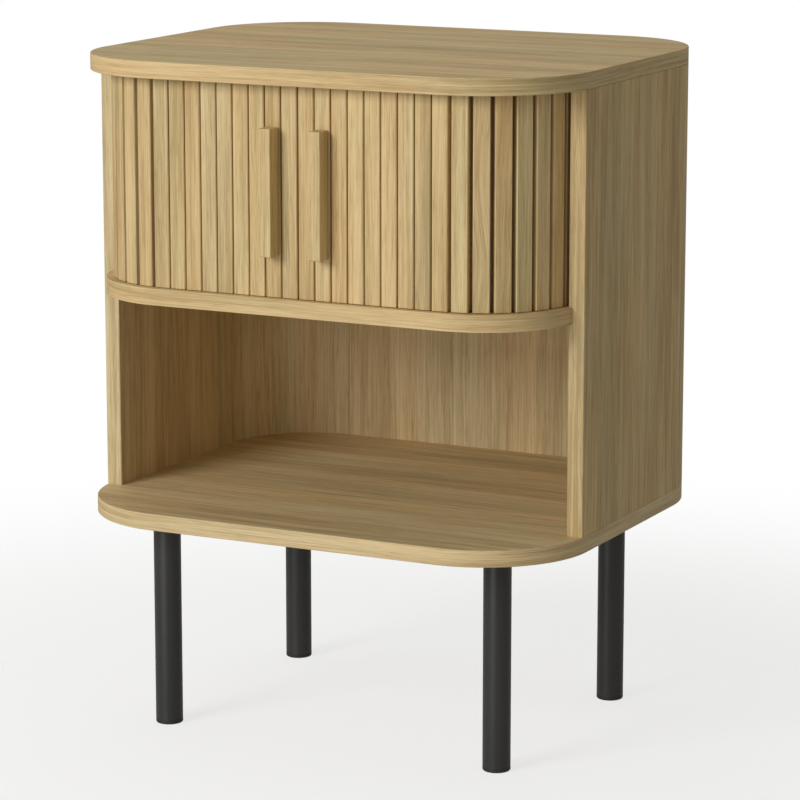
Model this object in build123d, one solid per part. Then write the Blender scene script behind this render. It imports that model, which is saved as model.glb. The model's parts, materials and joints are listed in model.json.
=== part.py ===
from build123d import *

import os
from math import acos, atan2, ceil, cos, degrees, floor, hypot, pi, sin, sqrt

# A small tambour cabinet: an oak case on four steel tube legs. Two ribbed doors slide round the front
# corners of the upper compartment, and the lower compartment is open in front.
# Millimetres, +Z up, the front faces -Y. The origin is on the floor, under the middle of the overall box.
# The pieces are worked out round the middle of the top panel, and save() moves them to the origin.

# Case
case_width = 480.0
case_depth = 400.0
case_height = 620.0
board = 15.0
corner_radius = 100.0
side_setback = 90.0  # from the front edges of the top and bottom panels to the side panels
shelf_setback = 11.5  # from the same edges to the front edge of the middle shelf
shelf_fit = 0.2  # round the part of the shelf that lies between the walls
edge_chamfer = 0.5  # along the edges of every board

# Legs
leg_length = 200.0
leg_diameter = 25.0
leg_wall = 1.5
leg_inset = 73.0  # from the edges of the bottom panel to a leg's axis
leg_cap = 4.0
leg_boss_diameter = 16.0
leg_boss_length = 12.0
glide_height = 4.0
glide_round = 1.5
glide_plug_length = 14.0
glide_fit = 0.1
stud_diameter = 8.0
stud_chamfer = 0.8
insert_diameter = 12.0
insert_length = 12.0
thread_fit = 0.1  # radial, between a thread and its hole

# Doors: slats on a canvas backing, which folds at the line between two slats
slat_pitch = 16.0
slat_gap = 1.2
slat_thickness = 12.0
slat_chamfer = 0.7
slat_setback = 18.0  # from the front edges of the top panel to the faces of the slats
slat_end_gap = 0.6  # over and under each slat
canvas_thickness = 0.8
meeting_gap = 0.5  # between the canvas of the two doors
groove_width = 5.0
groove_depth = 4.0
groove_end_gap = 1.0
handle_slat = 2  # counted from the meeting edge
handle_width = 12.0
handle_reach = 16.0
handle_length = 112.0
handle_round = 1.0
handle_margin = 2.0  # between a handle and the side panel when its door is open
handle_screw_diameter = 3.5
handle_screw_length = 22.0
handle_screw_spacing = 64.0

# Fixings of the case
fixing_inset = 40.0  # from a board's end to its first dowel
fixing_step = 32.0  # from a dowel to the screw or cam beside it
joint_dowel_inset = 60.0  # from the top and bottom of a wall to the dowels between two walls
dowel_diameter = 6.0
dowel_length = 30.0
dowel_face_depth = 10.0  # how deep a dowel sits in the face of a board
dowel_fit = 0.1
dowel_end_gap = 0.5
screw_diameter = 5.0
screw_length = 45.0
screw_fit = 0.1
screw_end_gap = 1.0
cam_diameter = 15.0
cam_depth = 12.0
cam_drop = 24.0  # from the end of a wall to the middle of its cam
cam_fit = 0.1
cam_bolt_diameter = 6.0
cam_bolt_fit = 0.4
cam_neck_diameter = 3.6
cam_neck_length = 3.0
cam_head_length = 2.5
cam_thread_diameter = 5.0
cam_thread_length = 10.0

on_base = (Align.CENTER, Align.CENTER, Align.MIN)
under_top = (Align.CENTER, Align.CENTER, Align.MAX)

# Heights
floor_top = leg_length + board
top_under = case_height - board
shelf_under = (floor_top + top_under - board) / 2
shelf_top = shelf_under + board
wall_height = top_under - floor_top
door_low = shelf_top + slat_end_gap
door_high = top_under - slat_end_gap
door_middle = (door_low + door_high) / 2

# Cross recess of screws and cams, as shares of the head's diameter
recess_length = 0.6
recess_width = 0.12
recess_depth = 0.15

# Plan
side_middle_x = (case_width - board) / 2
side_inner_x = case_width / 2 - board
back_middle_y = (case_depth - board) / 2
corner_x = case_width / 2 - corner_radius
corner_y = case_depth / 2 - corner_radius
inner_radius = corner_radius - board
side_front_y = side_setback - case_depth / 2
leg_x = case_width / 2 - leg_inset
leg_y = case_depth / 2 - leg_inset
wall_middle_radius = corner_radius - board / 2
handle_overhang = max(0.0, handle_reach - slat_setback)
plan_shift = handle_overhang / 2

# Track of the fold lines, from the middle of the front, round the corner and back along the side
fold_depth = slat_thickness + canvas_thickness
fold_setback = slat_setback + fold_depth
track_radius = corner_radius - fold_setback
bend_length = track_radius * pi / 2
slat_count = ceil((corner_x + bend_length) / slat_pitch) + 1
slat_width = slat_pitch - slat_gap
groove_setback = slat_setback + slat_thickness / 2


def track_point(distance):
    """The point of the right door's track at a distance from the middle of the front."""
    along_side = distance - corner_x - bend_length
    if distance <= corner_x:
        return distance, -corner_y - track_radius
    if along_side >= 0:
        return corner_x + track_radius, -corner_y + along_side
    angle = (distance - corner_x) / track_radius
    return corner_x + track_radius * sin(angle), -corner_y - track_radius * cos(angle)


def next_fold(distance):
    """The distance at which the next fold line lies, one pitch away in a straight line."""
    x, y = track_point(distance)
    near, far = distance, distance + 2 * slat_pitch
    while far - near > 1e-10:
        middle = (near + far) / 2
        px, py = track_point(middle)
        if hypot(px - x, py - y) < slat_pitch:
            near = middle
        else:
            far = middle
    return near


def fold_lines(count):
    """The points of the fold lines of the closed right door, from its meeting edge on."""
    distance = meeting_gap / 2
    points = [track_point(distance)]
    for _ in range(count):
        distance = next_fold(distance)
        points.append(track_point(distance))
    return points


def travel_in_slats():
    """How many pitches a door opens: up to the rear bend, or until its handle meets the side panel."""
    tail_end = fold_lines(slat_count)[-1][1]
    face_radius = inner_radius - (slat_setback - board)
    rear_limit = corner_y + sqrt(inner_radius**2 - face_radius**2)
    by_length = floor((rear_limit - tail_end) / slat_pitch)
    front_face_radius = corner_radius - slat_setback
    panel_offset = corner_radius - side_setback + handle_margin
    half_width = handle_width / 2
    limit_angle = acos(panel_offset / hypot(front_face_radius, half_width))
    limit_angle -= atan2(half_width, front_face_radius)
    handle_start = (handle_slat - 0.5) * slat_pitch + meeting_gap / 2
    by_handle = floor((corner_x + track_radius * limit_angle - handle_start) / slat_pitch)
    return min(by_length, by_handle)


travel_slats = travel_in_slats()
travel = travel_slats * slat_pitch
folds = fold_lines(slat_count + travel_slats)
groove_end_y = folds[-1][1] + groove_end_gap


def heading(link):
    """The direction of a link of the closed door, in degrees, counted from 1 at the meeting edge."""
    (x0, y0), (x1, y1) = folds[link - 1], folds[link]
    return degrees(atan2(y1 - y0, x1 - x0))


def link_place(link):
    """The place of a link: X along the door away from its meeting edge, -Y out of its face."""
    (x0, y0), (x1, y1) = folds[link - 1], folds[link]
    return Pos((x0 + x1) / 2, (y0 + y1) / 2) * Rot(0, 0, heading(link))


def mirrored(shape):
    return mirror(shape, Plane.YZ)


def both_sides(name, shape):
    save(name + "_right", shape)
    save(name + "_left", mirrored(shape))


def save(name, shape):
    export_step(Pos(0, plan_shift, 0) * shape, f"parts/{name}.step")


def group(solids):
    return Compound(children=list(solids))


def rod(radius, length, start, direction):
    """A cylinder from a start point along a direction."""
    return Plane(origin=start, z_dir=direction) * Cylinder(radius, length, align=on_base)


def outline(setback):
    """The plan of the top panel, drawn in by a setback."""
    return RectangleRounded(case_width - 2 * setback, case_depth - 2 * setback, corner_radius - setback)


def strip_in_y(low, high):
    """A wide rectangle of the plan between two depths."""
    return Pos(0, (low + high) / 2) * Rectangle(2 * case_width, high - low)


def slab(sketch, bottom, height):
    return extrude(Pos(0, 0, bottom) * sketch, height)


def groove(bottom):
    """The track that is cut in the shelf and the top panel, in the plan of the slats' middles."""
    half = groove_width / 2
    ring = outline(groove_setback - half) - outline(groove_setback + half)
    return slab(ring & strip_in_y(-case_depth, groove_end_y), bottom, groove_depth)


# Dowels, as centre and axis

def upright_dowels():
    """Plan points of the dowels between the walls and the panels over and under them."""
    sides = [(sx * side_middle_x, y) for sx in (-1, 1) for y in side_dowel_y()]
    backs = [(sx * (corner_x - fixing_inset), back_middle_y) for sx in (-1, 1)]
    reach = wall_middle_radius / sqrt(2)
    corners = [(sx * (corner_x + reach), corner_y + reach) for sx in (-1, 1)]
    return sides + backs + corners


def side_dowel_y():
    return side_front_y + fixing_inset, corner_y - fixing_inset


def dowel_places():
    """Every dowel's lower end and direction."""
    sink = dowel_face_depth - dowel_length
    places = []
    for x, y in upright_dowels():
        places.append(((x, y, top_under + sink), (0, 0, 1)))
        places.append(((x, y, floor_top - dowel_face_depth), (0, 0, 1)))
    shelf_middle = (shelf_under + shelf_top) / 2
    for side in (-1, 1):
        for y in side_dowel_y():
            places.append(((side * (side_inner_x + sink), y, shelf_middle), (side, 0, 0)))
        for z in (floor_top + joint_dowel_inset, top_under - joint_dowel_inset):
            half = dowel_length / 2
            places.append(((side * side_middle_x, corner_y - half, z), (0, 1, 0)))
            places.append(((side * (corner_x - half), back_middle_y, z), (side, 0, 0)))
    return places


def dowel(place):
    start, direction = place
    return rod(dowel_diameter / 2, dowel_length, start, direction)


def dowel_bore(place):
    start, direction = place
    back = tuple(s - dowel_end_gap * d for s, d in zip(start, direction))
    return rod(dowel_diameter / 2 + dowel_fit, dowel_length + 2 * dowel_end_gap, back, direction)


# Screws, along +Z from the outside of their head

def cross_recess(head_diameter):
    """Two crossed bars that sink into a head at Z = 0."""
    length, width = recess_length * head_diameter, recess_width * head_diameter
    height = 2 * recess_depth * head_diameter
    return [Box(length, width, height), Box(width, length, height)]


def turned_screw(diameter, length, gap):
    """A countersunk screw turned from one outline, whose head is twice as wide as its shank."""
    head, shank, neck = diameter + gap, diameter / 2 + gap, diameter / 2
    outline = Polyline((0, 0), (head, 0), (shank, neck), (shank, length), (0, length), close=True)
    return revolve(Plane.XZ * make_face(outline), Axis.Z)


def screw(diameter, length):
    return turned_screw(diameter, length, 0) - cross_recess(2 * diameter)


def screw_bore(diameter, length):
    return turned_screw(diameter, length + screw_end_gap, screw_fit)


def case_screw_places():
    """The screws that come up through the bottom panel into the side panels and the back."""
    front, rear = side_dowel_y()
    sides = [(sx * side_middle_x, y) for sx in (-1, 1) for y in (front + fixing_step, rear - fixing_step)]
    backs = [(sx * (corner_x - fixing_inset - fixing_step), back_middle_y) for sx in (-1, 1)]
    return [Plane(origin=(x, y, leg_length), z_dir=(0, 0, 1)) for x, y in sides + backs]


def shelf_screw_places():
    """The screws that come through the back panel into the rear edge of the shelf."""
    z = (shelf_under + shelf_top) / 2
    xs = [sx * (corner_x - fixing_inset) for sx in (-1, 1)]
    return [Plane(origin=(x, case_depth / 2, z), z_dir=(0, -1, 0)) for x in xs]


def case_screws(make):
    places = case_screw_places() + shelf_screw_places()
    return [place * make(screw_diameter, screw_length) for place in places]


# Cam fittings that hold the top panel, hidden in the upper compartment

def cam_places():
    """Each cam's bolt in plan, and the direction from the inside of the wall to its outside."""
    front, rear = side_dowel_y()
    places = []
    for side in (-1, 1):
        for y in (front + fixing_step, rear - fixing_step):
            places.append((side * side_middle_x, y, (side, 0, 0)))
        places.append((side * (corner_x - fixing_inset - fixing_step), back_middle_y, (0, 1, 0)))
    return places


def cam_axis(x, y, direction):
    """Where a cam's axis meets the inside of its wall."""
    dx, dy, _ = direction
    return x - dx * board / 2, y - dy * board / 2, top_under - cam_drop


def cam_bolt_hole(x, y):
    """The bore down the wall's end, to the far side of the bolt's head."""
    low = top_under - cam_drop - cam_head_length
    return rod(cam_bolt_diameter / 2 + cam_bolt_fit, top_under - low, (x, y, low), (0, 0, 1))


def cam_lock(place):
    x, y, direction = place
    start = cam_axis(x, y, direction)
    body = rod(cam_diameter / 2 - cam_fit, cam_depth - cam_fit, start, direction)
    face = Plane(origin=start, z_dir=direction)
    return body - [face * bar for bar in cross_recess(cam_diameter)] - cam_bolt_hole(x, y)


def cam_bore(place):
    x, y, direction = place
    return rod(cam_diameter / 2, cam_depth, cam_axis(x, y, direction), direction)


def cam_bolt(place):
    """A bolt with a threaded end in the top panel and a necked head in the cam."""
    x, y, _ = place
    head_low = top_under - cam_drop - cam_head_length / 2
    neck_low = head_low + cam_head_length
    shank_low = neck_low + cam_neck_length
    head = rod(cam_bolt_diameter / 2, cam_head_length, (x, y, head_low), (0, 0, 1))
    neck = rod(cam_neck_diameter / 2, cam_neck_length, (x, y, neck_low), (0, 0, 1))
    shank = rod(cam_bolt_diameter / 2, top_under - shank_low, (x, y, shank_low), (0, 0, 1))
    thread = rod(cam_thread_diameter / 2, cam_thread_length, (x, y, top_under), (0, 0, 1))
    return head + neck + shank + thread


def cam_thread_hole(place):
    x, y, _ = place
    radius, length = cam_thread_diameter / 2 + thread_fit, cam_thread_length + dowel_end_gap
    return rod(radius, length, (x, y, top_under), (0, 0, 1))


# Boards

def bores_of_dowels():
    return [dowel_bore(place) for place in dowel_places()]


def flat_board(sketch, bottom):
    """A board of the case with chamfered edges."""
    body = slab(sketch, bottom, board)
    flat_faces = body.faces().filter_by(Axis.Z)
    return chamfer(flat_faces.edges(), edge_chamfer)


def top_panel():
    body = flat_board(outline(0), top_under)
    holes = [cam_thread_hole(place) for place in cam_places()]
    return body - groove(top_under) - holes - bores_of_dowels()


def leg_places():
    return [(sx * leg_x, sy * leg_y) for sy in (-1, 1) for sx in (-1, 1)]


def bottom_panel():
    body = flat_board(outline(0), leg_length)
    radius = insert_diameter / 2
    holes = [rod(radius, insert_length, (x, y, leg_length), (0, 0, 1)) for x, y in leg_places()]
    return body - holes - case_screws(screw_bore) - bores_of_dowels()


def middle_shelf():
    """The shelf fits between the walls, and stands out in front of the side panels."""
    front = outline(shelf_setback) & strip_in_y(-case_depth, side_front_y)
    rear = outline(board + shelf_fit) & strip_in_y(side_front_y, case_depth)
    body = slab(front + rear, shelf_under, board)
    return body - groove(shelf_top - groove_depth) - case_screws(screw_bore) - bores_of_dowels()


def wall(sketch):
    """A wall from the bottom panel to the top panel, with its upright edges chamfered."""
    body = slab(sketch, floor_top, wall_height)
    return chamfer(body.edges().filter_by(Axis.Z), edge_chamfer)


def side_panel():
    length = corner_y - side_front_y
    body = wall(Pos(side_middle_x, side_front_y + length / 2) * Rectangle(board, length))
    cams = [cam_bore(place) for place in cam_places()]
    bolts = [cam_bolt_hole(x, y) for x, y, _ in cam_places()]
    return body - cams - bolts - case_screws(screw_bore) - bores_of_dowels()


def back_corner():
    """A quarter ring from the side panel to the back panel."""
    ring = Circle(corner_radius) - Circle(inner_radius)
    quarter = ring & (Pos(corner_radius, corner_radius) * Rectangle(2 * corner_radius, 2 * corner_radius))
    return wall(Pos(corner_x, corner_y) * quarter) - bores_of_dowels()


def back_panel():
    body = wall(Pos(0, back_middle_y) * Rectangle(2 * corner_x, board))
    cams = [cam_bore(place) for place in cam_places()]
    bolts = [cam_bolt_hole(x, y) for x, y, _ in cam_places()]
    return body - cams - bolts - case_screws(screw_bore) - bores_of_dowels()


# Legs

def leg():
    """A tube with a welded cap and a threaded boss under it."""
    radius, height = leg_diameter / 2, leg_length - glide_height
    thread_length = leg_cap + leg_boss_length
    tube = Pos(0, 0, glide_height) * Cylinder(radius, height, align=on_base)
    inside = Pos(0, 0, glide_height) * Cylinder(radius - leg_wall, height - leg_cap, align=on_base)
    boss = Pos(0, 0, leg_length) * Cylinder(leg_boss_diameter / 2, thread_length, align=under_top)
    bore = Pos(0, 0, leg_length) * Cylinder(stud_diameter / 2 + thread_fit, thread_length, align=under_top)
    return tube - inside + boss - bore


def glide():
    """A plastic foot that plugs the tube."""
    foot = Cylinder(leg_diameter / 2, glide_height, align=on_base)
    foot = fillet(foot.edges().sort_by(Axis.Z)[0], glide_round)
    plug_radius = leg_diameter / 2 - leg_wall - glide_fit
    plug = Pos(0, 0, glide_height) * Cylinder(plug_radius, glide_plug_length, align=on_base)
    plug = chamfer(plug.edges().sort_by(Axis.Z)[-1], glide_round)
    return foot + plug


def stud():
    """A threaded stud from the leg's boss into the insert in the bottom panel."""
    length = leg_cap + leg_boss_length + insert_length - 2 * stud_chamfer
    low = leg_length - leg_cap - leg_boss_length + stud_chamfer
    body = Pos(0, 0, low) * Cylinder(stud_diameter / 2, length, align=on_base)
    return chamfer(body.edges().filter_by(GeomType.CIRCLE), stud_chamfer)


def insert():
    body = Cylinder(insert_diameter / 2 - thread_fit, insert_length, align=on_base)
    bore = Cylinder(stud_diameter / 2 + thread_fit, insert_length, align=on_base)
    return Pos(0, 0, leg_length) * (body - bore)


def at_legs(piece):
    return group(Pos(x, y) * piece for x, y in leg_places())


# Doors

def handle_screw_places():
    """The screws of a handle, from the back of its slat, in the slat's own frame."""
    heights = [door_middle + side * handle_screw_spacing / 2 for side in (-1, 1)]
    return [Plane(origin=(0, -canvas_thickness, z), z_dir=(0, -1, 0)) for z in heights]


def handle_screws(make):
    return [place * make(handle_screw_diameter, handle_screw_length) for place in handle_screw_places()]


def slat(link):
    """A slat and the canvas that is glued to its back. The folds between two slats stay open."""
    half, back, front = slat_width / 2, -canvas_thickness, -fold_depth
    section = Polygon(
        (-half, back),
        (-half, front + slat_chamfer),
        (slat_chamfer - half, front),
        (half - slat_chamfer, front),
        (half, front + slat_chamfer),
        (half, back),
        align=None,
    )
    height = door_high - door_low
    wood = slab(section, door_low, height)
    strip = slab(Pos(0, back / 2) * Rectangle(slat_width, canvas_thickness), door_low, height)
    if link == handle_slat:
        wood -= handle_screws(screw_bore)
        hole = Rot(90, 0, 0) * Cylinder(handle_screw_diameter + screw_fit, slat_thickness)
        strip -= [Pos(0, 0, place.origin.Z) * hole for place in handle_screw_places()]
    return link_place(link) * group([wood, strip])


def handle():
    bar = Box(handle_width, handle_reach, handle_length)
    body = Pos(0, -fold_depth - handle_reach / 2, door_middle) * bar
    outer = body.edges() - body.faces().sort_by(Axis.Y)[-1].edges()
    return link_place(handle_slat) * (fillet(outer, handle_round) - handle_screws(screw_bore))


def main():
    os.makedirs("parts", exist_ok=True)
    save("top_panel", top_panel())
    save("middle_shelf", middle_shelf())
    save("bottom_panel", bottom_panel())
    both_sides("side_panel", side_panel())
    both_sides("back_corner", back_corner())
    save("back_panel", back_panel())
    save("dowels", group(dowel(place) for place in dowel_places()))
    save("case_screws", group(case_screws(screw)))
    save("cam_locks", group(cam_lock(place) for place in cam_places()))
    save("cam_bolts", group(cam_bolt(place) for place in cam_places()))
    for name, x, y in (("front", leg_x, -leg_y), ("rear", leg_x, leg_y)):
        both_sides(f"leg_{name}", Pos(x, y) * leg())
    save("leg_glides", at_legs(glide()))
    save("leg_studs", at_legs(stud()))
    save("leg_inserts", at_legs(insert()))
    for link in range(1, slat_count + 1):
        shape = slat(link)
        save(f"slat_right_{link:02d}", shape)
        save(f"slat_left_{link:02d}", mirrored(shape))
    both_sides("handle", handle())
    both_sides("handle_screws", link_place(handle_slat) * group(handle_screws(screw)))


if __name__ == "__main__":
    main()
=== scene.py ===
import json
from math import atan2, cos, pi, radians, sin

import bpy
import numpy as np
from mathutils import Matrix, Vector

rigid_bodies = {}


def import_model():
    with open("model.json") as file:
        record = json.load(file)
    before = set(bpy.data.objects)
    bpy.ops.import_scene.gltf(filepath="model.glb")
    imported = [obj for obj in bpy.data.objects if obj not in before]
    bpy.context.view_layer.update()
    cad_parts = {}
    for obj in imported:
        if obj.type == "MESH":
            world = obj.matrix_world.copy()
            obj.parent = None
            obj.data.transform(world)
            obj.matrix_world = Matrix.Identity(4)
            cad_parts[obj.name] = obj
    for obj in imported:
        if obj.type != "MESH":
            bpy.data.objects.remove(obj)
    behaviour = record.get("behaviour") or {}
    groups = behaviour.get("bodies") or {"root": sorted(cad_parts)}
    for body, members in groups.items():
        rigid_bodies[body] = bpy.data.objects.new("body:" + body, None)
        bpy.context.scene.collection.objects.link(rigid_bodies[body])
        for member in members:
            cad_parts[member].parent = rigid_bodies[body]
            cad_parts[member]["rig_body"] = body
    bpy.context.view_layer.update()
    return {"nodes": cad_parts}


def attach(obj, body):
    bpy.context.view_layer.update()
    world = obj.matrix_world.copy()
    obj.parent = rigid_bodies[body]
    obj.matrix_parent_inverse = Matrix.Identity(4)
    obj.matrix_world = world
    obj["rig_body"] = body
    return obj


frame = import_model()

# Small oak tambour cabinet. Metres, +Z up, the front faces -Y, and the floor is at Z = 0.
nodes = frame["nodes"]
sides = (("right", 1), ("left", -1))

# The camera stands a few metres off to the front right and looks slightly down.
view = dict(
    place=(1.4331, -2.8533, 0.9427),
    azimuth=radians(26.538),  # from straight in front, towards the right side
    pitch=radians(11.455),  # downwards
    lens=159.16,
    sensor=36,
    reach=100,  # nothing beyond this is drawn
)


def addCamera():
    data = bpy.data.cameras.new("camera")
    data.lens = view["lens"]
    data.sensor_width = view["sensor"]
    data.clip_end = view["reach"]
    camera = bpy.data.objects.new("camera", data)
    camera.location = view["place"]
    camera.rotation_euler = (pi / 2 - view["pitch"], 0, view["azimuth"])
    bpy.context.scene.collection.objects.link(camera)
    bpy.context.scene.camera = camera


addCamera()
bpy.context.scene.view_settings.view_transform = "Standard"
print("camera placed")


# Shader maths. A Wire is one output socket, and each operator adds a Math node behind it.
class Wire:
    def __init__(self, recipe, socket):
        self.recipe, self.socket = recipe, socket

    def math(self, operation, *others, clamp=False):
        settings = dict(operation=operation, use_clamp=clamp)
        return self.recipe.add("Math", settings, dict(enumerate((self, *others))))

    def __add__(self, other):
        return self.math("ADD", other)

    def __sub__(self, other):
        return self.math("SUBTRACT", other)

    def __rsub__(self, other):
        return self.recipe.number(other).math("SUBTRACT", self)

    def __mul__(self, other):
        return self.math("MULTIPLY", other)

    def __abs__(self):
        return self.math("ABSOLUTE")

    __radd__ = __add__
    __rmul__ = __mul__

    def least(self, other):
        return self.math("MINIMUM", other)

    def most(self, other):
        return self.math("MAXIMUM", other)

    def clamped(self):
        return self.math("ADD", 0.0, clamp=True)

    def ease(self, low, high):
        # 0 at low, 1 at high, smooth between
        inputs = {"Value": self, "From Min": low, "From Max": high}
        return self.recipe.add("MapRange", dict(interpolation_type="SMOOTHSTEP"), inputs)


class Recipe:
    def __init__(self, name):
        self.material = bpy.data.materials.new(name)
        self.material.use_nodes = True
        self.tree = self.material.node_tree
        self.tree.nodes.clear()

    def add(self, kind, settings=None, inputs=None, out=None):
        # every node of a material is made here: its settings first, then its inputs, by number or by name
        node = self.tree.nodes.new("ShaderNode" + kind)
        for key, value in (settings or {}).items():
            if key == "stops":
                self.setStops(node.color_ramp, value)
            else:
                setattr(node, key, value)
        for key, value in (inputs or {}).items():
            if isinstance(key, int):
                target = node.inputs[key]
            else:
                target = next(s for s in node.inputs if s.name == key and s.enabled)
            if isinstance(value, Wire):
                self.tree.links.new(value.socket, target)
            else:
                target.default_value = value
        outputs = {s.name: s for s in node.outputs if s.enabled}
        return Wire(self, outputs.get(out, next(iter(outputs.values()), None)))

    def setStops(self, ramp, stops):
        while len(ramp.elements) < len(stops):
            ramp.elements.new(0.5)
        for element, (place, colour) in zip(ramp.elements, stops):
            element.position = place
            element.color = (*colour, 1)

    def number(self, value):
        return self.add("Math", dict(operation="ADD"), {0: float(value), 1: 0.0})

    def place(self):
        return self.add("TexCoord", out="Object")

    def normal(self):
        return self.add("TexCoord", out="Normal")

    def split(self, vector):
        first = self.add("SeparateXYZ", None, {"Vector": vector})
        return tuple(Wire(self, s) for s in first.socket.node.outputs)

    def join(self, x, y, z):
        return self.add("CombineXYZ", None, {"X": x, "Y": y, "Z": z})

    def turned(self, vector, origin, angle):
        # the place seen from a piece's own middle, with its own X along the piece's front
        inputs = {"Vector": vector, "Location": origin, "Rotation": (0, 0, angle)}
        return self.add("Mapping", dict(vector_type="TEXTURE"), inputs)

    def stretched(self, vector, scale, shift=(0, 0, 0)):
        inputs = {0: vector, 1: scale, 2: shift}
        return self.add("VectorMath", dict(operation="MULTIPLY_ADD"), inputs)

    def noise(self, vector, detail=2.0, rough=0.5):
        inputs = {"Vector": vector, "Scale": 1.0, "Detail": detail, "Roughness": rough}
        return self.add("TexNoise", dict(noise_dimensions="3D"), inputs)

    def ramp(self, factor, stops):
        return self.add("ValToRGB", dict(stops=stops), {"Fac": factor})

    def mix(self, factor, a, b):
        return self.add("Mix", dict(data_type="RGBA"), {"Factor": factor, "A": (*a, 1), "B": (*b, 1)})

    def tinted(self, colour, other):
        settings = dict(data_type="RGBA", blend_type="MULTIPLY")
        tint = other if isinstance(other, Wire) else (*other, 1)
        return self.add("Mix", settings, {"Factor": 1.0, "A": colour, "B": tint})

    def bump(self, height, strength, distance):
        return self.add("Bump", None, {"Height": height, "Strength": strength, "Distance": distance})

    def finish(self, colour, rough, **fixed):
        inputs = {"Base Color": colour, "Roughness": rough}
        inputs.update({key.replace("_", " "): value for key, value in fixed.items()})
        shader = self.add("BsdfPrincipled", None, inputs)
        self.add("OutputMaterial", None, {"Surface": shader})
        return self.material


def shaded(colour, share):
    return tuple(c * share for c in colour)


def coat(piece, material):
    piece.data.materials.clear()
    piece.data.materials.append(material)


def addMesh(name, points, faces):
    mesh = bpy.data.meshes.new(name)
    mesh.from_pydata(points.tolist(), [], faces)
    mesh.update()
    piece = bpy.data.objects.new(name, mesh)
    bpy.context.scene.collection.objects.link(piece)
    return piece


# Oak. Each layer of the grain is noise drawn out along the fibres.
oak = dict(
    light=(0.70, 0.54, 0.285),
    middle=(0.59, 0.437, 0.215),
    dark=(0.45, 0.318, 0.145),
    rampPlaces=(0.15, 0.5, 0.85),  # of dark, middle and light
    reddish=(1.035, 0.988, 0.945),
    olive=(0.965, 1.0, 1.01),
    toneLift=0.05,
    rough=0.50,
    fibreRough=0.16,
    poreRough=0.10,
    refraction=1.46,
    shine=0.35,
    bump=0.35,
    grainDepth=0.0003,
)
# stretch scales the noise along the fibres and twice across them, share is the layer's weight in the tone
# and height its weight in the bump. cut is where a value starts to count, and where it counts in full.
grain = dict(
    broad=dict(stretch=(2.2, 34, 34), detail=2.0, rough=0.55, share=1.3),
    streak=dict(stretch=(5, 170, 170), detail=3.0, rough=0.6, share=1.2, height=0.25),
    fibre=dict(stretch=(11, 560, 560), detail=3.0, rough=0.65, share=1.5, height=0.45),
    pore=dict(
        stretch=(48, 1300, 1300), detail=1.0, rough=0.5, share=0.26, height=0.6, cut=(0.54, 0.68),
    ),
    hue=dict(stretch=(3, 24, 24), cut=(0.35, 0.65), shift=(7, 3)),
    seedShift=(1.7, 3.1, 2.3),
    wander=dict(along=6, across=18, reach=0.004, seed=5),
    bow=dict(along=9, across=30),
)
panelEdge = dict(
    reachX=0.14, reachY=0.10, radius=0.10,  # half of the straight runs, and the corners
    faceUp=(0.55, 0.8),  # how upright the normal is where the edge gives way to the face
    bandStretch=1.6,
    cornerBlend=0.01,
)


def edgeRun(x, y):
    # Distance round a rounded rectangle from the middle of its front: straight runs plus radius times angle
    reachX, reachY, blend = panelEdge["reachX"], panelEdge["reachY"], panelEdge["cornerBlend"]
    wide = abs(x)
    flatX = wide.least(reachX)
    flatY = y.most(-reachY).least(reachY)
    angle = (wide - flatX).math("ARCTAN2", flatY - y)
    back = angle.ease(pi / 2 - blend, pi / 2 + blend)
    run = angle * panelEdge["radius"] + flatY + reachY
    run = run + flatX * (1 - back) + (2 * reachX - flatX) * back
    return run * x.math("SIGN")


def bandedFibres(r, x, y, z, fibres):
    # On the edges of a panel the fibres run round it, as on a veneer tape.
    along, across, through = fibres
    up = r.split(r.normal())[2]
    onFace = abs(up).ease(*panelEdge["faceUp"])
    onEdge = 1 - onFace
    onBoard = 1 - onEdge
    along = along * onBoard + edgeRun(x, y) * onEdge
    across = across * onBoard + z * panelEdge["bandStretch"] * onEdge
    return along, across, through * onBoard


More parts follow.
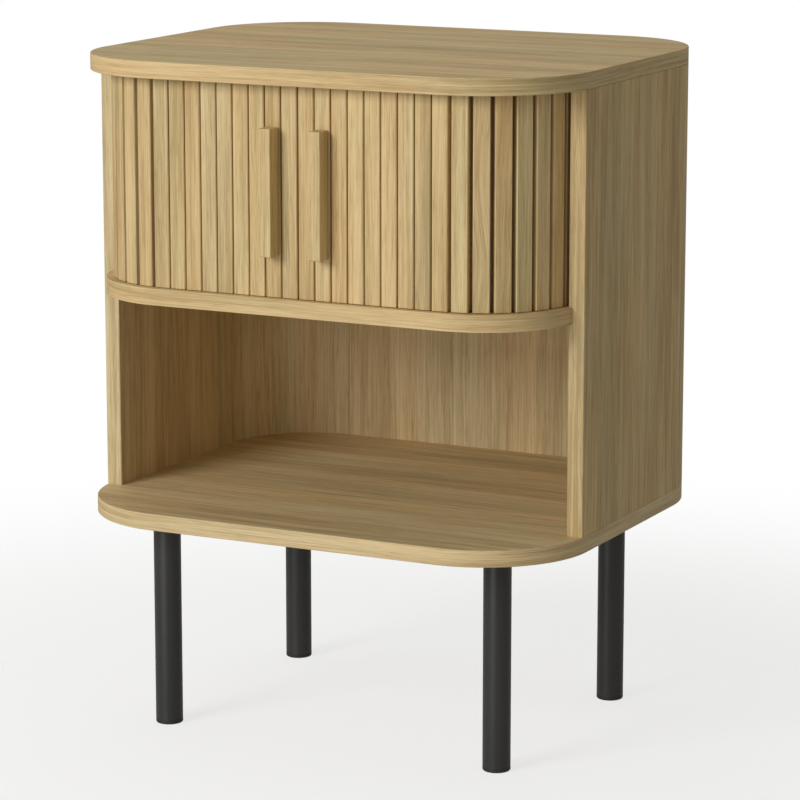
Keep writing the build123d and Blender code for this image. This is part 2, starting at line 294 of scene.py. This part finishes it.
def oakFinish(name, direction, seed, tint=(1, 1, 1), depth=1.0, figure=0.0, ownFrame=None, banded=False):
    # direction is the way of the fibres, "x" or "z". depth is how strong the grain is, figure how far the
    # fibres bow sideways, and ownFrame a slat's middle and heading. banded is for a panel with taped edges.
    r = Recipe(name)
    point = r.place()
    if ownFrame:
        point = r.turned(point, (*ownFrame[0], 0), ownFrame[1])
    x, y, z = r.split(point)
    along, across, through = (x, y, z) if direction == "x" else (z, x, y)
    if banded:
        along, across, through = bandedFibres(r, x, y, z, (along, across, through))
    if figure:
        bow = grain["bow"]
        bend = r.noise(r.join(along * bow["along"], across * bow["across"], seed), 1.0)
        across = across + (bend - 0.5) * figure
    wander = grain["wander"]
    drift = r.noise(r.join(along * wander["along"], across * wander["across"], seed + wander["seed"]), 1.0)
    across = across + (drift - 0.5) * wander["reach"]
    base = r.join(along, across, through)
    shift = tuple(seed * s for s in grain["seedShift"])

    def layer(kind):
        look = grain[kind]
        return r.noise(r.stretched(base, look["stretch"], shift), look["detail"], look["rough"])

    def weighed(value, kind):
        return (value - 0.5) * (grain[kind]["share"] * depth)

    broad, streak, fibre = layer("broad"), layer("streak"), layer("fibre")
    pore = layer("pore").ease(*grain["pore"]["cut"])
    tone = 0.5 + weighed(broad, "broad") + weighed(streak, "streak") + weighed(fibre, "fibre")
    tone = (tone + oak["toneLift"] - pore * grain["pore"]["share"]).clamped()
    colour = r.ramp(tone, tuple(zip(oak["rampPlaces"], (oak["dark"], oak["middle"], oak["light"]))))
    hue = grain["hue"]
    shade = r.noise(r.stretched(base, hue["stretch"], (seed, *hue["shift"])), 1.0)
    colour = r.tinted(colour, r.mix(shade.ease(*hue["cut"]), oak["reddish"], oak["olive"]))
    # tint is a slat's own random tone, or painted light on the compartment's boards
    colour = r.tinted(colour, tint)
    rough = oak["rough"] + (0.5 - fibre) * oak["fibreRough"] + pore * oak["poreRough"]
    height = fibre * grain["fibre"]["height"] + streak * grain["streak"]["height"]
    height = height - pore * grain["pore"]["height"]
    normal = r.bump(height, oak["bump"], oak["grainDepth"])
    return r.finish(colour, rough, Normal=normal, IOR=oak["refraction"], Specular_IOR_Level=oak["shine"])


plainTint = (1, 1, 1)
compartmentPaintedLight = (1.03, 1.07, 1.17)  # painted light: lifts and cools the colour of the compartment's pieces to the photo's tone in its shade, and shows outside as well
boards = dict(
    top_panel=("x", 3.0, plainTint),
    bottom_panel=("x", 11.0, compartmentPaintedLight),
    middle_shelf=("x", 19.0, plainTint),
    side_panel_right=("z", 4.0, plainTint),
    side_panel_left=("z", 9.0, compartmentPaintedLight),
    back_corner_right=("z", 6.5, plainTint),
    back_corner_left=("z", 12.5, compartmentPaintedLight),
    back_panel=("z", 15.0, compartmentPaintedLight),
)
for name, (direction, seed, tint) in boards.items():
    coat(nodes[name], oakFinish("oak_" + name, direction, seed, tint, banded=direction == "x"))
print("boards finished")

# The doors. The slats' fold lines follow a track: straight along the front, round the corner, then back.
door = dict(
    cornerX=0.14, cornerY=-0.10, trackRadius=0.0692,
    pitch=0.016, firstFold=0.00025, slats=17,
    low=0.4181, high=0.6044,
)
halvings = 50


def trackPoint(distance):
    cornerX, cornerY, radius = door["cornerX"], door["cornerY"], door["trackRadius"]
    bend = radius * pi / 2
    if distance <= cornerX:
        return np.array((distance, cornerY - radius))
    if distance >= cornerX + bend:
        return np.array((cornerX + radius, cornerY + distance - cornerX - bend))
    angle = (distance - cornerX) / radius
    return np.array((cornerX + radius * sin(angle), cornerY - radius * cos(angle)))


def foldPoints():
    # Fold lines one pitch apart in a straight line, each found on the track by halving.
    distance = door["firstFold"]
    points = [trackPoint(distance)]
    for _ in range(door["slats"]):
        near, far = distance, distance + 2 * door["pitch"]
        for _ in range(halvings):
            middle = (near + far) / 2
            if np.linalg.norm(trackPoint(middle) - points[-1]) < door["pitch"]:
                near = middle
            else:
                far = middle
        distance = near
        points.append(trackPoint(distance))
    return np.array(points)


folds = foldPoints()


def slatFrame(link, sign):
    # the middle of a slat's fold-side edge in plan, and its heading
    (x0, y0), (x1, y1) = folds[link - 1], folds[link]
    heading = atan2(y1 - y0, x1 - x0)
    return ((sign * (x0 + x1) / 2, (y0 + y1) / 2), sign * heading)


slatLooks = dict(
    tints=(
        (1, 1, 1), (1.04, 1.03, 1.0), (0.95, 0.945, 0.93),
        (1.0, 0.975, 0.96), (0.96, 0.97, 0.93), (1.02, 1.0, 0.96),
    ),
    figured=dict(right=(11, 12), left=(3, 14)),
    figure=0.02,
    depth=0.95,
    seeds=(20, 90),
    drawSeed=7,
)
handleLooks = dict(tint=(1.04, 1.02, 1.0), depth=0.9, seed=31.0)
rng = np.random.default_rng(slatLooks["drawSeed"])
for side, sign in sides:
    for link in range(1, door["slats"] + 1):
        node = nodes[f"slat_{side}_{link:02d}"]
        tint = slatLooks["tints"][rng.integers(len(slatLooks["tints"]))]
        seed = float(rng.uniform(*slatLooks["seeds"]))
        figure = slatLooks["figure"] if link in slatLooks["figured"][side] else 0.0
        place = slatFrame(link, sign)
        finish = oakFinish("oak_" + node.name, "z", seed, tint, slatLooks["depth"], figure, place)
        coat(node, finish)
    handle = nodes["handle_" + side]
    seed = handleLooks["seed"] + sign
    finish = oakFinish("oak_" + handle.name, "z", seed, handleLooks["tint"], handleLooks["depth"])
    coat(handle, finish)
print("slats finished")

# Canvas, one band on the back of each slat, from fold line to fold line.
canvas = dict(
    thick=0.00085,
    proud=0.0001,  # behind the fold lines
    trim=0.0002,  # at each end
    taper=0.0004,
    slack=0.00001,  # at each fold line
    rows=3,
    thread=0.0009,
    slub=300,
    colour=(0.56, 0.47, 0.33),
    darkest=0.72, lightest=1.18,
    rampPlaces=(0.1, 0.8),
    weaveShare=0.5, slubShare=0.6, slubHeight=0.4,
    bump=0.6, bumpDepth=0.0002,
    rough=0.85, slubRough=0.1,
    sheen=0.15,
)


def canvasFinish():
    # plain weave: warp and weft are two waves whose crests take turns on top
    r = Recipe("canvas_weave")
    x, y, z = r.split(r.place())
    turns = 2 * pi / canvas["thread"]
    warp = ((x + y) * turns).math("SINE")
    weft = (z * turns).math("SINE")
    over = warp * weft * 0.5 + 0.5
    scale = canvas["slub"]
    slub = r.noise(r.join(x * scale, y * scale, z * scale), 2.0)
    tone = (over * canvas["weaveShare"] + slub * canvas["slubShare"]).clamped()
    shades = [shaded(canvas["colour"], share) for share in (canvas["darkest"], canvas["lightest"])]
    colour = r.ramp(tone, tuple(zip(canvas["rampPlaces"], shades)))
    normal = r.bump(over + slub * canvas["slubHeight"], canvas["bump"], canvas["bumpDepth"])
    rough = canvas["rough"] + slub * canvas["slubRough"]
    return r.finish(colour, rough, Normal=normal, Sheen_Weight=canvas["sheen"])


def canvasStrip(name, link, sign):
    # A flat band as wide as the pitch: a closed outline in plan, carried from the low end to the high end.
    # Its back tapers to the fold lines, so that two bands clear each other where they turn the corner.
    (x, y), heading = slatFrame(link, sign)
    half, inside = door["pitch"] / 2 - canvas["slack"], canvas["proud"]
    outside, flat = inside - canvas["thick"], half - canvas["taper"]
    back = ((half, 0), (flat, inside), (-flat, inside), (-half, 0))
    section = np.array(((-half, outside), (half, outside), *back))
    turn = np.array(((cos(heading), sin(heading)), (-sin(heading), cos(heading))))
    plan = section @ turn + (x, y)
    heights = np.linspace(door["low"] + canvas["trim"], door["high"] - canvas["trim"], canvas["rows"])
    count = len(section)
    points = np.concatenate([np.column_stack((plan, np.full(count, h))) for h in heights])
    ring = np.arange(count)
    ahead = np.roll(ring, -1)
    wall = np.column_stack((ring, ahead, ahead + count, ring + count))
    walls = np.concatenate([wall + count * row for row in range(len(heights) - 1)])
    last = count * (len(heights) - 1)
    return addMesh(name, points, walls.tolist() + [ring[::-1].tolist(), (ring + last).tolist()])


weave = canvasFinish()
for side, sign in sides:
    for link in range(1, door["slats"] + 1):
        slatName = f"slat_{side}_{link:02d}"
        strip = canvasStrip(f"canvas_{side}_{link:02d}", link, sign)
        coat(strip, weave)
        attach(strip, nodes[slatName]["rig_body"])
print("canvas hung")

# Powder coat of the legs: fine orange-peel bumps and slightly uneven gloss
powder = dict(
    colour=(0.026, 0.026, 0.027), lighter=1.5,
    peel=(1300, 1300, 1300), cloud=(22, 22, 9),
    rough=0.31, cloudRough=0.14, peelRough=0.08,
    bump=0.25, bumpDepth=0.00008, refraction=1.5,
)


def powderFinish():
    r = Recipe("black_powder_coat")
    point = r.place()
    peel = r.noise(r.stretched(point, powder["peel"]), 2.0)
    cloud = r.noise(r.stretched(point, powder["cloud"]), 3.0)
    colour = r.mix(cloud, powder["colour"], shaded(powder["colour"], powder["lighter"]))
    rough = powder["rough"] + (cloud - 0.5) * powder["cloudRough"] + (peel - 0.5) * powder["peelRough"]
    normal = r.bump(peel, powder["bump"], powder["bumpDepth"])
    return r.finish(colour, rough, Normal=normal, IOR=powder["refraction"])


# Moulded plastic of the glides
plastic = dict(
    dark=(0.016, 0.016, 0.017), light=(0.028, 0.028, 0.029),
    grain=(2200, 2200, 2200),
    rough=0.55, grainRough=0.2,
    bump=0.3, bumpDepth=0.00005, refraction=1.5,
)


def plasticFinish():
    r = Recipe("black_moulded_plastic")
    speck = r.noise(r.stretched(r.place(), plastic["grain"]), 1.0)
    colour = r.mix(speck, plastic["dark"], plastic["light"])
    rough = plastic["rough"] + (speck - 0.5) * plastic["grainRough"]
    normal = r.bump(speck, plastic["bump"], plastic["bumpDepth"])
    return r.finish(colour, rough, Normal=normal, IOR=plastic["refraction"])


# Bright metal of the fixings: short scratches and faint blotches
metal = dict(
    zinc=(0.62, 0.62, 0.60), zincRough=0.32,
    cam=(0.50, 0.50, 0.51), camRough=0.45,
    darker=0.8,
    blotch=(420, 420, 420), scratch=(300, 300, 6000),
    blotchRough=0.2, scratchRough=0.15,
    bump=0.15, bumpDepth=0.00004,
)


def metalFinish(name, base, rough):
    r = Recipe(name)
    point = r.place()
    blotch = r.noise(r.stretched(point, metal["blotch"]), 2.0)
    scratch = r.noise(r.stretched(point, metal["scratch"]), 2.0)
    colour = r.mix(blotch, shaded(base, metal["darker"]), base)
    rough = rough + (blotch - 0.5) * metal["blotchRough"] + (scratch - 0.5) * metal["scratchRough"]
    return r.finish(colour, rough, Metallic=1.0, Normal=r.bump(scratch, metal["bump"], metal["bumpDepth"]))


# Beech of the dowels
beech = dict(
    dark=(0.50, 0.34, 0.19), light=(0.66, 0.48, 0.30),
    across=900, along=120,
    rough=0.6, fleckRough=0.2,
    bump=0.2, bumpDepth=0.0001,
)


def beechFinish():
    r = Recipe("beech_dowel")
    x, y, z = r.split(r.place())
    fleck = r.noise(r.join(x * beech["across"], y * beech["across"], z * beech["along"]), 2.0)
    colour = r.mix(fleck, beech["dark"], beech["light"])
    rough = beech["rough"] + (fleck - 0.5) * beech["fleckRough"]
    return r.finish(colour, rough, Normal=r.bump(fleck, beech["bump"], beech["bumpDepth"]))


blackSteel = powderFinish()
zincSteel = metalFinish("zinc_plate", metal["zinc"], metal["zincRough"])
for name in ("leg_front_right", "leg_front_left", "leg_rear_right", "leg_rear_left"):
    coat(nodes[name], blackSteel)
coat(nodes["leg_glides"], plasticFinish())
coat(nodes["dowels"], beechFinish())
coat(nodes["cam_locks"], metalFinish("cast_cam", metal["cam"], metal["camRough"]))
for name in ("case_screws", "cam_bolts", "leg_studs", "leg_inserts"):
    coat(nodes[name], zincSteel)
for side, sign in sides:
    coat(nodes["handle_screws_" + side], zincSteel)
print("legs and fixings finished")

# Floor, lights and backdrop
floorLooks = dict(
    reach=1.2,
    cells=8,
    solid=0.28,
    fade=(0.35, 1.1),  # distance from the middle over which it turns clear
    colour=(0.88, 0.88, 0.88), darker=0.99,
    cloud=(3, 3, 3),
    rough=0.9,
)
lamps = dict(
    key=dict(place=(-1.25, -3.0, 1.75), aim=(0.0, 0.0, 0.38), size=1.3, power=59.0),
    front=dict(place=(-0.5, -3.2, 0.45), aim=(0.0, 0.0, 0.35), size=2.2, power=24.0),
    top=dict(place=(-0.5, 0.4, 2.4), aim=(0.0, 0.0, 0.62), size=1.6, power=8.5),
)
surround = dict(fill=(0.30, 0.289, 0.265), backdrop=(1.0, 1.0, 1.0))


def floorFinish():
    r = Recipe("pale_floor")
    point = r.place()
    cloud = r.noise(r.stretched(point, floorLooks["cloud"]), 2.0)
    colour = r.mix(cloud, shaded(floorLooks["colour"], floorLooks["darker"]), floorLooks["colour"])
    distance = r.add("VectorMath", dict(operation="LENGTH"), {0: point})
    solid = (1 - distance.ease(*floorLooks["fade"])) * floorLooks["solid"]
    return r.finish(colour, floorLooks["rough"], Alpha=solid)


def addFloor():
    # a flat grid at height zero, mostly see-through and fading out to the white backdrop
    cells = floorLooks["cells"]
    row = cells + 1
    steps = np.linspace(-floorLooks["reach"], floorLooks["reach"], row)
    across, away = np.meshgrid(steps, steps)
    points = np.column_stack((across.ravel(), away.ravel(), np.zeros(row * row)))
    corner = (np.arange(cells)[:, None] * row + np.arange(cells)).ravel()
    faces = np.column_stack((corner, corner + 1, corner + row + 1, corner + row))
    floor = addMesh("floor", points, faces.tolist())
    floor.data.materials.append(floorFinish())


def addLamp(name, place, aim, size, power):
    data = bpy.data.lights.new(name, "AREA")
    data.shape = "SQUARE"
    data.size = size
    data.energy = power
    lamp = bpy.data.objects.new(name, data)
    lamp.location = place
    lamp.rotation_euler = (Vector(aim) - Vector(place)).to_track_quat("-Z", "Y").to_euler()
    bpy.context.scene.collection.objects.link(lamp)


def addWorld():
    # dim light from all round, and a white backdrop where nothing stands before the camera
    world = bpy.data.worlds.new("studio")
    world.use_nodes = True
    tree = world.node_tree
    background = tree.nodes["Background"]
    seen = tree.nodes.new("ShaderNodeLightPath")
    choice = tree.nodes.new("ShaderNodeMixRGB")
    choice.inputs["Color1"].default_value = (*surround["fill"], 1)
    choice.inputs["Color2"].default_value = (*surround["backdrop"], 1)
    tree.links.new(seen.outputs["Is Camera Ray"], choice.inputs["Fac"])
    tree.links.new(choice.outputs["Color"], background.inputs["Color"])
    bpy.context.scene.world = world


addFloor()
for name, lamp in lamps.items():
    addLamp(name, **lamp)
addWorld()
print("studio lit")

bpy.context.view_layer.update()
